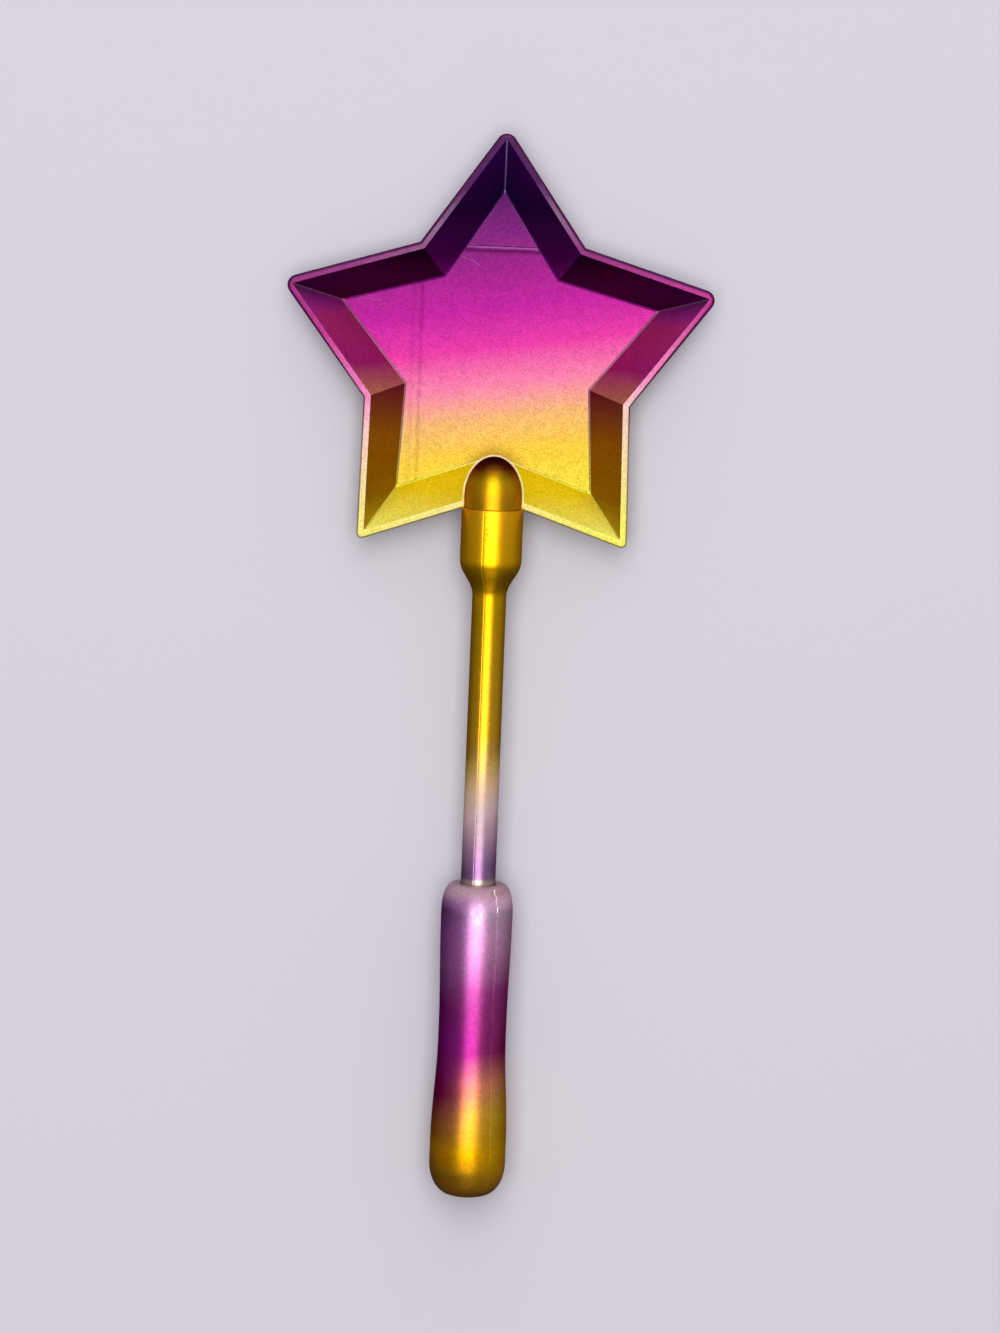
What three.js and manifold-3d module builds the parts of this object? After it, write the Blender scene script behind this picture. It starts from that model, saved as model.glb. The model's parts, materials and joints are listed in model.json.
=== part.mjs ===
// Star party wand: an open star dish with a bullet-nosed plug, on a stem that turns in a waisted grip.
// Millimetres, +Z up. The wand lies on its back along Y with the dish open upwards, so the star is at
// +Y and the grip at -Y. The axis of plug, stem and grip lies in the plane of the dish's rim.
import * as THREE from 'three';
import { mergeVertices } from 'three/addons/utils/BufferGeometryUtils.js';
import Module from 'manifold-3d';

const wasm = await Module();
wasm.setup();

// Star dish: radii from the star's centre to its tips and to the notches between them.
const STAR_POINTS = 5;
const RIM_TIP_RADIUS = 69.7;
const RIM_NOTCH_RADIUS = 42.2;
const FLOOR_TIP_RADIUS = 53.2;
const FLOOR_NOTCH_RADIUS = 31.0;
const RIM_LIP_WIDTH = 2.4;
const RIM_BAND_HEIGHT = 1.6;
const RIM_EDGE_CHAMFER = 0.7;
const DISH_HEIGHT = 12.4;
const FLOOR_THICKNESS = 1.5;
const BASE_MARGIN = 0.3;
const UPPER_TIP_ROUND = 3.3;
const LOWER_TIP_ROUND = 1.7;
const INNER_TIP_ROUND = 0.4;

// Foil on the dish floor.
const FOIL_THICKNESS = 0.25;
const FOIL_MARGIN = 0.4;

// Bullet-nosed plug and the cradle that it lies in.
const PLUG_RADIUS = 9.2;
const PLUG_BARREL_LENGTH = 4.7;
const PLUG_NOSE_LENGTH = 11.8;
const CRADLE_WALL = 0.7;
const TENON_LENGTH = 14;
const TENON_CHAMFER = 0.8;

// Stem with its bell-shaped socket.
const BELL_RADIUS = 9.9;
const BELL_WALL = 2.4;
const BELL_LENGTH = 17.2;
const BELL_EDGE_CHAMFER = 0.3;
const BELL_TUCK = 0.4;
const TAPER_LENGTH = 12;
const STEM_LENGTH = 93;
const STEM_TOP_RADIUS = 5.45;
const STEM_FOOT_RADIUS = 5.6;
const STEM_WALL = 1.9;
const FLANGE_STEP = 2.6;
const FLANGE_THICKNESS = 3;
const STEM_TAIL_LENGTH = 6;
const STEM_SEAM_DEGREES = -16;

// Grip: radii at its mouth, shoulder, waist and butt, and lengths down from its mouth.
const GRIP_LENGTH = 103;
const GRIP_MOUTH_RADIUS = 8.0;
const GRIP_SHOULDER_RADIUS = 11.6;
const GRIP_SHOULDER_DROP = 9;
const GRIP_WAIST_RADIUS = 11.0;
const GRIP_WAIST_DROP = 48;
const GRIP_BUTT_RADIUS = 12.4;
const GRIP_BUTT_DROP = 88;
const GRIP_BUTT_ROUND = 6.6;
const GRIP_WALL = 2.4;
const GRIP_MOUTH_DEPTH = 5;
const GRIP_RIB_THICKNESS = 3;
const GRIP_END_WALL = 3;
const GRIP_SEAM_DEGREES = 35;

// Clearance of pieces that slide, turn or are glued into each other, and of two half shells.
const CLEARANCE = 0.3;
const SHELL_GAP = 0.3;

// Fineness of round shapes.
const ROUND_SEGMENTS = 40;
const TIP_DIVISIONS = 3;
const CURVE_DIVISIONS = 6;

// Half the angle between neighbouring tips, and the directions of the tips from the top one round.
const HALF_STEP = Math.PI / STAR_POINTS;
const UP = Math.PI / 2;

const rimStar = { tip: RIM_TIP_RADIUS, notch: RIM_NOTCH_RADIUS };
const floorStar = { tip: FLOOR_TIP_RADIUS, notch: FLOOR_NOTCH_RADIUS };
const lipStar = grownStar(rimStar, RIM_LIP_WIDTH);
const lipFaceStar = grownStar(rimStar, RIM_LIP_WIDTH - RIM_EDGE_CHAMFER);
const baseStar = grownStar(floorStar, BASE_MARGIN);
const foilStar = grownStar(floorStar, -FOIL_MARGIN);

// Stations along the axis, from the star's centre at 0 down to the butt of the grip. The bell's mouth
// is tucked a little above the place where the outer edge of the rim lip runs past the bell's side.
const lipFall = (lipStar.tip * Math.cos(HALF_STEP) - lipStar.notch) / (lipStar.tip * Math.sin(HALF_STEP));
const bellMouthY = -lipStar.notch - lipFall * BELL_RADIUS + BELL_TUCK;
const noseTipY = bellMouthY + PLUG_BARREL_LENGTH + PLUG_NOSE_LENGTH;
const tenonEndY = bellMouthY - TENON_LENGTH;
const socketFloorY = tenonEndY - CLEARANCE;
const bellFootY = bellMouthY - BELL_LENGTH;
const taperEndY = bellFootY - TAPER_LENGTH;
const gripMouthY = taperEndY - STEM_LENGTH;
const gripEndY = gripMouthY - GRIP_LENGTH;
const chamberTopY = gripMouthY - GRIP_MOUTH_DEPTH;
const flangeTopY = chamberTopY - CLEARANCE;
const flangeFootY = flangeTopY - FLANGE_THICKNESS;
const chamberFootY = flangeFootY - CLEARANCE;
const ribFootY = chamberFootY - GRIP_RIB_THICKNESS;
const tailEndY = ribFootY - STEM_TAIL_LENGTH;

// Fits: the tenon in the bell's socket, the plug in its cradle, the stem's foot in the grip.
const socketRadius = BELL_RADIUS - BELL_WALL;
const tenonRadius = socketRadius - CLEARANCE;
const stemBoreRadius = STEM_TOP_RADIUS - STEM_WALL;
const flangeRadius = STEM_FOOT_RADIUS + FLANGE_STEP;
const gripBoreRadius = STEM_FOOT_RADIUS + CLEARANCE;
const chamberRadius = flangeRadius + CLEARANCE;
const hollowRadius = GRIP_WAIST_RADIUS - GRIP_WALL;

// Half the angle at a star's tip.
function tipHalfAngle({ tip, notch }) {
  return Math.atan2(notch * Math.sin(HALF_STEP), tip - notch * Math.cos(HALF_STEP));
}

// The star whose edges lie a set distance outside those of another one.
function grownStar(star, distance) {
  const edgeDistance = star.tip * Math.sin(tipHalfAngle(star));
  const growth = (edgeDistance + distance) / edgeDistance;
  return { tip: star.tip * growth, notch: star.notch * growth };
}

// Outline of a star with a round on each tip, counter-clockwise from the top tip.
function starOutline(star, upperRound, lowerRound) {
  const halfAngle = tipHalfAngle(star);
  const spread = UP - halfAngle;
  const outline = new THREE.Shape();
  for (let i = 0; i < STAR_POINTS; i += 1) {
    const aim = UP + 2 * HALF_STEP * i;
    const round = Math.sin(aim) > 0 ? upperRound : lowerRound;
    const reach = star.tip - round / Math.sin(halfAngle);
    outline.absarc(reach * Math.cos(aim), reach * Math.sin(aim), round, aim - spread, aim + spread);
    const notchAim = aim + HALF_STEP;
    outline.lineTo(star.notch * Math.cos(notchAim), star.notch * Math.sin(notchAim));
  }
  return outline.getPoints(TIP_DIVISIONS);
}

// Closed solid through outlines of equal point count, stacked upwards, with flat ends.
function loft(levels) {
  const count = levels[0].outline.length;
  const positions = [];
  for (const { outline, z } of levels) {
    for (const point of outline) {
      positions.push(point.x, point.y, z);
    }
  }
  const topStart = count * (levels.length - 1);
  const bottomCentre = count * levels.length;
  const topCentre = bottomCentre + 1;
  positions.push(0, 0, levels[0].z);
  positions.push(0, 0, levels[levels.length - 1].z);
  const faces = [];
  for (let i = 0; i < count; i += 1) {
    const next = (i + 1) % count;
    faces.push(bottomCentre, next, i);
    faces.push(topCentre, topStart + i, topStart + next);
    for (let start = 0; start < topStart; start += count) {
      faces.push(start + i, start + next, start + count + next);
      faces.push(start + i, start + count + next, start + count + i);
    }
  }
  const geometry = new THREE.BufferGeometry();
  geometry.setAttribute('position', new THREE.Float32BufferAttribute(positions, 3));
  geometry.setIndex(faces);
  return geometry;
}

// Solid of revolution about the wand's axis, which runs along Y in the plane of the rim.
function turned(profile) {
  return new THREE.LatheGeometry(profile, ROUND_SEGMENTS).translate(0, 0, DISH_HEIGHT);
}

// Half profile of a round body with a flat foot and an elliptical nose.
function bulletProfile(radius, noseLength, tipY, footY) {
  const profile = new THREE.Path();
  profile.moveTo(0, footY);
  profile.lineTo(radius, footY);
  profile.absellipse(0, tipY - noseLength, radius, noseLength, 0, UP);
  return profile.getPoints(CURVE_DIVISIONS);
}

// Closed body ready for cutting and joining.
function solidOf(geometry) {
  const bare = geometry.clone();
  bare.deleteAttribute('normal');
  bare.deleteAttribute('uv');
  const merged = mergeVertices(bare);
  return new wasm.Manifold(new wasm.Mesh({
    numProp: 3,
    vertProperties: new Float32Array(merged.attributes.position.array),
    triVerts: new Uint32Array(merged.index.array),
  }));
}

function geometryOf(solid) {
  const { vertProperties, triVerts } = solid.getMesh();
  const geometry = new THREE.BufferGeometry();
  geometry.setAttribute('position', new THREE.BufferAttribute(vertProperties, 3));
  geometry.setIndex(new THREE.BufferAttribute(triVerts, 1));
  geometry.computeVertexNormals();
  return geometry;
}

function piece(name, geometry, color, roughness, metalness) {
  const mesh = new THREE.Mesh(geometry, new THREE.MeshStandardMaterial({ color, roughness, metalness }));
  mesh.name = name;
  return mesh;
}

// Block that keeps one side of a plane through the wand's axis: side -1 is left, +1 is right of a seam
// that stands at an angle to the vertical.
function sideBlock(seamDegrees, side) {
  const reach = 2 * Math.abs(gripEndY);
  const block = new THREE.BoxGeometry(reach, reach, reach);
  block.translate(side * (reach + SHELL_GAP) / 2, gripEndY / 2, 0);
  block.rotateY(THREE.MathUtils.degToRad(seamDegrees));
  block.translate(0, 0, DISH_HEIGHT);
  return block;
}

function halfShells(name, geometry, seamDegrees, color, roughness, metalness) {
  const whole = solidOf(geometry);
  const shells = new THREE.Group();
  for (const [label, side] of [['left', -1], ['right', 1]]) {
    const half = whole.intersect(solidOf(sideBlock(seamDegrees, side)));
    shells.add(piece(`${name}_${label}_half`, geometryOf(half), color, roughness, metalness));
  }
  return shells;
}

// Star tray with a round-tipped rim lip, sloping walls and the cradle for the plug in its lower notch.
// The cradle is half a thin bullet-shaped cup, level with the rim.
function starDish() {
  const lip = starOutline(lipStar, UPPER_TIP_ROUND, LOWER_TIP_ROUND);
  const lipFace = starOutline(
    lipFaceStar, UPPER_TIP_ROUND - RIM_EDGE_CHAMFER, LOWER_TIP_ROUND - RIM_EDGE_CHAMFER,
  );
  const base = starOutline(baseStar, INNER_TIP_ROUND, INNER_TIP_ROUND);
  const tray = solidOf(loft([
    { outline: base, z: 0 },
    { outline: lip, z: DISH_HEIGHT - RIM_BAND_HEIGHT },
    { outline: lip, z: DISH_HEIGHT - RIM_EDGE_CHAMFER },
    { outline: lipFace, z: DISH_HEIGHT },
  ]));
  const rim = starOutline(rimStar, INNER_TIP_ROUND, INNER_TIP_ROUND);
  const floor = starOutline(floorStar, INNER_TIP_ROUND, INNER_TIP_ROUND);
  const hollow = solidOf(loft([
    { outline: floor, z: FLOOR_THICKNESS },
    { outline: rim, z: DISH_HEIGHT },
    { outline: rim, z: 2 * DISH_HEIGHT },
  ]));
  const cupGap = CLEARANCE + CRADLE_WALL;
  const cupRadius = PLUG_RADIUS + cupGap;
  const cupFootY = bellMouthY + CLEARANCE;
  const cup = solidOf(turned(bulletProfile(cupRadius, PLUG_NOSE_LENGTH + cupGap, noseTipY + cupGap, cupFootY)));
  const cupReach = 2 * Math.abs(bellMouthY);
  const belowRim = new THREE.BoxGeometry(cupReach, cupReach, cupReach);
  belowRim.translate(0, bellMouthY, DISH_HEIGHT - cupReach / 2);
  const cradle = cup.intersect(solidOf(belowRim));
  const pocketRadius = PLUG_RADIUS + CLEARANCE;
  const pocketNose = PLUG_NOSE_LENGTH + CLEARANCE;
  const pocket = solidOf(turned(bulletProfile(pocketRadius, pocketNose, noseTipY + CLEARANCE, bellFootY)));
  const bellRelief = new THREE.CylinderGeometry(
    BELL_RADIUS + CLEARANCE, BELL_RADIUS + CLEARANCE, BELL_LENGTH, ROUND_SEGMENTS,
  );
  bellRelief.translate(0, cupFootY - BELL_LENGTH / 2, DISH_HEIGHT);
  const dish = tray.subtract(hollow).add(cradle).subtract(pocket).subtract(solidOf(bellRelief));
  return piece('star_dish', geometryOf(dish), 0x8c2f7c, 0.36, 0.85);
}

// Thin star-shaped sheet on the dish floor.
function floorFoil() {
  const outline = starOutline(foilStar, INNER_TIP_ROUND, INNER_TIP_ROUND);
  const sheet = loft([
    { outline, z: FLOOR_THICKNESS },
    { outline, z: FLOOR_THICKNESS + FOIL_THICKNESS },
  ]);
  return piece('floor_foil', sheet, 0xe0489a, 0.42, 0.8);
}

// Bullet-nosed plug: its shoulder sits on the bell's mouth and its tenon fills the bell's socket.
function nosePlug() {
  const profile = new THREE.Path();
  profile.moveTo(0, tenonEndY);
  profile.lineTo(tenonRadius - TENON_CHAMFER, tenonEndY);
  profile.lineTo(tenonRadius, tenonEndY + TENON_CHAMFER);
  profile.lineTo(tenonRadius, bellMouthY);
  profile.lineTo(PLUG_RADIUS, bellMouthY);
  profile.absellipse(0, noseTipY - PLUG_NOSE_LENGTH, PLUG_RADIUS, PLUG_NOSE_LENGTH, 0, UP);
  return piece('nose_plug', turned(profile.getPoints(CURVE_DIVISIONS)), 0x9c7412, 0.3, 0.9);
}

// Hollow stem: tail and flange inside the grip, slim drafted tube, ogee taper, bell and its socket.
function stem() {
  const taperMidY = (bellFootY + taperEndY) / 2;
  const profile = new THREE.Path();
  profile.moveTo(stemBoreRadius, tailEndY);
  profile.lineTo(STEM_FOOT_RADIUS, tailEndY);
  profile.lineTo(STEM_FOOT_RADIUS, flangeFootY);
  profile.lineTo(flangeRadius, flangeFootY);
  profile.lineTo(flangeRadius, flangeTopY);
  profile.lineTo(STEM_FOOT_RADIUS, flangeTopY);
  profile.lineTo(STEM_FOOT_RADIUS, gripMouthY);
  profile.lineTo(STEM_TOP_RADIUS, taperEndY);
  profile.bezierCurveTo(STEM_TOP_RADIUS, taperMidY, BELL_RADIUS, taperMidY, BELL_RADIUS, bellFootY);
  profile.lineTo(BELL_RADIUS, bellMouthY - BELL_EDGE_CHAMFER);
  profile.lineTo(BELL_RADIUS - BELL_EDGE_CHAMFER, bellMouthY);
  profile.lineTo(socketRadius, bellMouthY);
  profile.lineTo(socketRadius, socketFloorY);
  profile.lineTo(stemBoreRadius, socketFloorY);
  profile.lineTo(stemBoreRadius, tailEndY);
  const tube = turned(profile.getPoints(CURVE_DIVISIONS));
  return halfShells('stem', tube, STEM_SEAM_DEGREES, 0xcfa81c, 0.3, 0.9);
}

// Waisted hollow grip with a mouth for the stem, a chamber for its flange and a rib below it.
function grip() {
  const buttY = gripMouthY - GRIP_BUTT_DROP;
  const waistY = gripMouthY - GRIP_WAIST_DROP;
  const shoulderY = gripMouthY - GRIP_SHOULDER_DROP;
  const lowerMidY = (buttY + waistY) / 2;
  const upperMidY = (waistY + shoulderY) / 2;
  const buttArcX = GRIP_BUTT_RADIUS - GRIP_BUTT_ROUND;
  const shoulderReach = GRIP_SHOULDER_RADIUS - GRIP_MOUTH_RADIUS;
  const profile = new THREE.Path();
  profile.moveTo(0, gripEndY);
  profile.lineTo(buttArcX, gripEndY);
  profile.absarc(buttArcX, gripEndY + GRIP_BUTT_ROUND, GRIP_BUTT_ROUND, -UP, 0);
  profile.lineTo(GRIP_BUTT_RADIUS, buttY);
  profile.bezierCurveTo(GRIP_BUTT_RADIUS, lowerMidY, GRIP_WAIST_RADIUS, lowerMidY, GRIP_WAIST_RADIUS, waistY);
  profile.bezierCurveTo(
    GRIP_WAIST_RADIUS, upperMidY, GRIP_SHOULDER_RADIUS, upperMidY, GRIP_SHOULDER_RADIUS, shoulderY,
  );
  profile.absellipse(GRIP_MOUTH_RADIUS, shoulderY, shoulderReach, GRIP_SHOULDER_DROP, 0, UP);
  profile.lineTo(gripBoreRadius, gripMouthY);
  profile.lineTo(gripBoreRadius, chamberTopY);
  profile.lineTo(chamberRadius, chamberTopY);
  profile.lineTo(chamberRadius, chamberFootY);
  profile.lineTo(gripBoreRadius, chamberFootY);
  profile.lineTo(gripBoreRadius, ribFootY);
  profile.lineTo(hollowRadius, ribFootY);
  profile.lineTo(hollowRadius, gripEndY + GRIP_END_WALL);
  profile.lineTo(0, gripEndY + GRIP_END_WALL);
  const shell = turned(profile.getPoints(CURVE_DIVISIONS));
  return halfShells('grip', shell, GRIP_SEAM_DEGREES, 0x9a4488, 0.34, 0.85);
}

// The wand stands in the middle of its own box, on its lowest face.
const wand = new THREE.Group();
const head = new THREE.Group();
head.add(starDish(), floorFoil(), nosePlug());
wand.add(head, stem(), grip());
const box = new THREE.Box3().setFromObject(wand);
wand.position.set(0, -(box.min.y + box.max.y) / 2, -box.min.z);

export default wand;
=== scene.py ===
import json
import math
import random

import bmesh
import bpy
from mathutils import Matrix, Vector, noise


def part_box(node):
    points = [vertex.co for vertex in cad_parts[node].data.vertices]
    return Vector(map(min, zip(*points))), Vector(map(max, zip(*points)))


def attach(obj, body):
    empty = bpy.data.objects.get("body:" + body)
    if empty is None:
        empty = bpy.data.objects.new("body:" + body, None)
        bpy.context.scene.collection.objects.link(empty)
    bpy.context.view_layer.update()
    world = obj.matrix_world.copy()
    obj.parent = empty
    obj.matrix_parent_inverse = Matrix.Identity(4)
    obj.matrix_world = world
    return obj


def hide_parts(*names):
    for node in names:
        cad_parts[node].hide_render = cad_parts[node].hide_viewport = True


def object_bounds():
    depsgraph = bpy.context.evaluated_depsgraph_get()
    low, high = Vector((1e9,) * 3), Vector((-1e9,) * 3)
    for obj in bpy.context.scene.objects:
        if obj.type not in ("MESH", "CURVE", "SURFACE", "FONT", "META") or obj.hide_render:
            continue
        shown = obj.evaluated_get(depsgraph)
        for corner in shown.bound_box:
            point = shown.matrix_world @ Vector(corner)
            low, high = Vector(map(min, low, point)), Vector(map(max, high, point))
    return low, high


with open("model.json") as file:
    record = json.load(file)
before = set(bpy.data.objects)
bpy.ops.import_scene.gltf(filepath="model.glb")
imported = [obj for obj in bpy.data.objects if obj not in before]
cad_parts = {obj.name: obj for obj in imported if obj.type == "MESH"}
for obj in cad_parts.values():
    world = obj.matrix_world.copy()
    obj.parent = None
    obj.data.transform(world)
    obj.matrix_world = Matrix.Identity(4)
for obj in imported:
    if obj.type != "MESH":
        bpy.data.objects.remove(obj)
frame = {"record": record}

cad_low, cad_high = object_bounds()

# Star dish: a thin moulded tray with five points, a flat lip with a rounded outer edge, sloping walls and
# a flat back. A thin half cup, level with the lip, is moulded into its lower notch to cradle the plug.
# The plastic is metallised, purple at the top point and gold at the lower ones.
MM = 0.001
star_y = frame["record"]["mounts"][0]["pos_m"][1]
dish_low, dish_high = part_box("star_dish")
plug_low, plug_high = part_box("nose_plug")
stem_low, stem_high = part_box("stem_left_half")
rim_z = dish_high.z
bell_mouth_y = stem_high.y
POINTS = 5
STEM_NOTCH = 2
RIM_STAR = (69.7 * MM, 42.2 * MM)
FLOOR_STAR = (53.2 * MM, 31.0 * MM)
LOW_NOTCH_DROP = 0.9 * MM
LIP_WIDTH = 2.4 * MM
LIP_ROUND = 1.25 * MM
LOWER_LIP_ROUND = 0.6 * MM
LIP_ROUND_STEPS = 6
LIP_DROP = 1.6 * MM
LIP_INNER_ROUND = 0.16 * MM
UPPER_TIP_ROUND = 3.3 * MM
LOWER_TIP_ROUND = 1.7 * MM
INNER_TIP_ROUND = 0.35 * MM
TIP_STEPS = 8
RING_STEPS = TIP_STEPS + 2
FLOOR_FILLET = 0.3 * MM
FLOOR_Z = 1.5 * MM
BACK_MARGIN = 0.3 * MM
BACK_ROUND = 0.4 * MM
# Slot of the pale painted highlight in the dish's corners and round its floor.
EDGE_HIGHLIGHT_COAT = 1
WELD_DISTANCE = 0.0002 * MM


def tip_half_angle(star):
    tip, notch = star
    half_step = math.pi / POINTS
    return math.atan2(notch * math.sin(half_step), tip - notch * math.cos(half_step))


def grown(star, distance):
    edge = star[0] * math.sin(tip_half_angle(star))
    return tuple(radius * (edge + distance) / edge for radius in star)


def star_ring(mesh, star, upper_round, lower_round, z, steps=TIP_STEPS, low_notch_drop=0.0):
    """Vertices round a star with rounded tips, counter-clockwise from the top tip. The notch at the stem,
    the third one, can be a little lower than the others."""
    tip, notch = star
    half = tip_half_angle(star)
    ring = []
    for point in range(POINTS):
        aim = math.pi / 2 + point * 2 * math.pi / POINTS
        bend = upper_round if math.sin(aim) > 0 else lower_round
        reach = tip - bend / math.sin(half)
        sweep = math.pi / 2 - half
        for step in range(steps + 1):
            turn = aim - sweep + 2 * sweep * step / steps
            x = reach * math.cos(aim) + bend * math.cos(turn)
            y = reach * math.sin(aim) + bend * math.sin(turn)
            ring.append(mesh.verts.new((x, star_y + y, z)))
        gap = aim + math.pi / POINTS
        deep = notch + low_notch_drop if point == STEM_NOTCH else notch
        ring.append(mesh.verts.new((deep * math.cos(gap), star_y + deep * math.sin(gap), z)))
    return ring


def skin(mesh, rings, closed=True):
    """Four-sided faces between neighbouring rings of equal length, listed in their order round the rings."""
    made = []
    for one, two in zip(rings, rings[1:]):
        count = len(one)
        for i in range(count if closed else count - 1):
            j = (i + 1) % count
            made.append(mesh.faces.new((one[i], one[j], two[j], two[i])))
    return made


def fan(mesh, ring, centre):
    middle = mesh.verts.new(centre)
    for i, vert in enumerate(ring):
        mesh.faces.new((vert, ring[(i + 1) % len(ring)], middle))


def sharpen(mesh, degrees):
    """Smooth shading but for the edges that turn more than an angle."""
    for face in mesh.faces:
        face.smooth = True
    for edge in mesh.edges:
        edge.smooth = edge.is_manifold and edge.calc_face_angle(0) < math.radians(degrees)


def shape(name, mesh, sharp_degrees=28):
    """Object from a finished mesh."""
    bmesh.ops.remove_doubles(mesh, verts=mesh.verts, dist=WELD_DISTANCE)
    bmesh.ops.recalc_face_normals(mesh, faces=mesh.faces)
    sharpen(mesh, sharp_degrees)
    data = bpy.data.meshes.new(name)
    mesh.to_mesh(data)
    mesh.free()
    thing = bpy.data.objects.new(name, data)
    bpy.context.scene.collection.objects.link(thing)
    return thing


def arc(middle, radius, start, end, steps):
    """Points on a round, as pairs, with the angles in degrees."""
    turns = [math.radians(start + (end - start) * i / steps) for i in range(steps + 1)]
    return [(middle[0] + radius * math.cos(t), middle[1] + radius * math.sin(t)) for t in turns]


def lip_edge(mesh, lip):
    """Rings of the lip's rounded outer edge, which is tighter on the lower half of the star."""
    lower_half = bmesh.new()
    upper_arc, lower_arc = [arc((-bend, rim_z - bend), bend, 0, 90, LIP_ROUND_STEPS)
                            for bend in (LIP_ROUND, LOWER_LIP_ROUND)]
    rings = []
    for places in zip(upper_arc, lower_arc):
        ring, lower_ring = [star_ring(half, grown(lip, out), UPPER_TIP_ROUND + out, LOWER_TIP_ROUND + out, up)
                            for half, (out, up) in zip((mesh, lower_half), places)]
        for vert, lower_vert in zip(ring, lower_ring):
            if lower_vert.co.y < star_y:
                vert.co = lower_vert.co
        rings.append(ring)
    lower_half.free()
    return rings


def dish_tray():
    """The pale painted highlight is in the corners of the walls and round the floor, but not beside the
    upper notches.
    """
    mesh = bmesh.new()
    lip = grown(RIM_STAR, LIP_WIDTH)
    back = grown(FLOOR_STAR, BACK_MARGIN)
    tight = INNER_TIP_ROUND
    rings = [
        star_ring(mesh, grown(back, -BACK_ROUND), tight, tight, 0),
        star_ring(mesh, back, tight, tight, BACK_ROUND),
        star_ring(mesh, lip, UPPER_TIP_ROUND, LOWER_TIP_ROUND, rim_z - LIP_DROP),
    ]
    rings += lip_edge(mesh, lip)
    rings.append(star_ring(mesh, grown(RIM_STAR, LIP_INNER_ROUND), tight, tight, rim_z))
    rings.append(star_ring(mesh, RIM_STAR, tight, tight, rim_z - LIP_INNER_ROUND))
    for grow, z in ((FLOOR_FILLET, FLOOR_Z + FLOOR_FILLET), (-FLOOR_FILLET, FLOOR_Z)):
        floor_ring = grown(FLOOR_STAR, grow)
        rings.append(star_ring(mesh, floor_ring, tight, tight, z, low_notch_drop=LOW_NOTCH_DROP))
    skin(mesh, rings[:-2])
    for i, face in enumerate(skin(mesh, rings[-3:-1])):
        if i % RING_STEPS < TIP_STEPS:
            face.material_index = EDGE_HIGHLIGHT_COAT
    last = POINTS * RING_STEPS
    beside_upper_notches = (TIP_STEPS, TIP_STEPS + 1, last - 2, last - 1)
    for i, face in enumerate(skin(mesh, rings[-2:])):
        if i not in beside_upper_notches:
            face.material_index = EDGE_HIGHLIGHT_COAT
    fan(mesh, rings[0], (0, star_y, 0))
    fan(mesh, rings[-1], (0, star_y, FLOOR_Z))
    return shape("star_dish_shell", mesh)


PLUG_RADIUS = (plug_high.x - plug_low.x) / 2
PLUG_NOSE = 12.8 * MM
NOSE_STEPS = 24
PLUG_GAP = 0.05 * MM
CUP_WALL = 0.6 * MM
BLOCK_SIZE = 100 * MM
POCKET_RUN = 20 * MM
BELL_MARGIN = 0.1 * MM
DISH_SHARP_DEGREES = 17


def bullet(radius, nose, tip_y, foot_y):
    """Profile of a round body with a flat foot and an elliptical nose."""
    rise = [(radius * math.cos(t), tip_y - nose + nose * math.sin(t))
            for t in (math.pi / 2 * i / NOSE_STEPS for i in range(NOSE_STEPS + 1))]
    return [(0, foot_y), (radius, foot_y)] + rise


def turned_solid(name, profile, steps=96):
    """Solid from (radius, y) points turned about the wand's axis, which runs along Y in the rim's plane."""
    mesh = bmesh.new()
    columns = []
    for step in range(steps):
        turn = 2 * math.pi * step / steps
        columns.append([mesh.verts.new((r * math.sin(turn), y, rim_z + r * math.cos(turn)))
                        for r, y in profile])
    skin(mesh, columns + [columns[0]], closed=False)
    return shape(name, mesh)


def combine(target, tool, operation):
    """Joins a second solid to the first one or cuts it away, and deletes it."""
    change = target.modifiers.new("change", "BOOLEAN")
    change.operation = operation
    change.solver = "EXACT"
    change.object = tool
    bpy.context.view_layer.update()
    result = target.evaluated_get(bpy.context.evaluated_depsgraph_get())
    data = bpy.data.meshes.new_from_object(result)
    target.modifiers.clear()
    target.data = data
    bpy.data.objects.remove(tool)


def half_cup():
    """Lower half of a bullet-shaped solid, up to the plane of the rim."""
    grow = PLUG_GAP + CUP_WALL
    foot_y = bell_mouth_y + PLUG_GAP
    profile = bullet(PLUG_RADIUS + grow, PLUG_NOSE + grow, plug_high.y + grow, foot_y)
    cup = turned_solid("half_cup", profile)
    block = bmesh.new()
    bmesh.ops.create_cube(block, size=BLOCK_SIZE)
    bmesh.ops.translate(block, verts=block.verts, vec=(0, bell_mouth_y, rim_z + BLOCK_SIZE / 2))
    combine(cup, shape("above_rim", block), "DIFFERENCE")
    return cup


def plug_pocket():
    """Room for the plug, which runs on down past the dish."""
    profile = bullet(PLUG_RADIUS + PLUG_GAP, PLUG_NOSE + PLUG_GAP, plug_high.y + PLUG_GAP,
                     bell_mouth_y - POCKET_RUN)
    return turned_solid("plug_pocket", profile)


def bell_relief():
    """Room for the bell where it meets the dish."""
    radius = stem_high.z - rim_z + BELL_MARGIN
    foot_y = bell_mouth_y - POCKET_RUN
    head_y = bell_mouth_y + PLUG_GAP
    return turned_solid("bell_relief", [(0, foot_y), (radius, foot_y), (radius, head_y), (0, head_y)])


def fit_to_plug(tray):
    combine(tray, half_cup(), "UNION")
    combine(tray, plug_pocket(), "DIFFERENCE")
    combine(tray, bell_relief(), "DIFFERENCE")
    mesh = bmesh.new()
    mesh.from_mesh(tray.data)
    sharpen(mesh, DISH_SHARP_DEGREES)
    mesh.to_mesh(tray.data)
    mesh.free()


def paint(code):
    """Linear colour from a six-figure hexadecimal code."""
    parts = [int(code[i:i + 2], 16) / 255 for i in (0, 2, 4)]
    return tuple(p / 12.92 if p < 0.04045 else ((p + 0.055) / 1.055) ** 2.4 for p in parts) + (1.0,)


def finish_material(name):
    material = bpy.data.materials.new(name)
    material.use_nodes = True
    tree = material.node_tree
    return material, tree, tree.nodes["Principled BSDF"]


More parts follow.
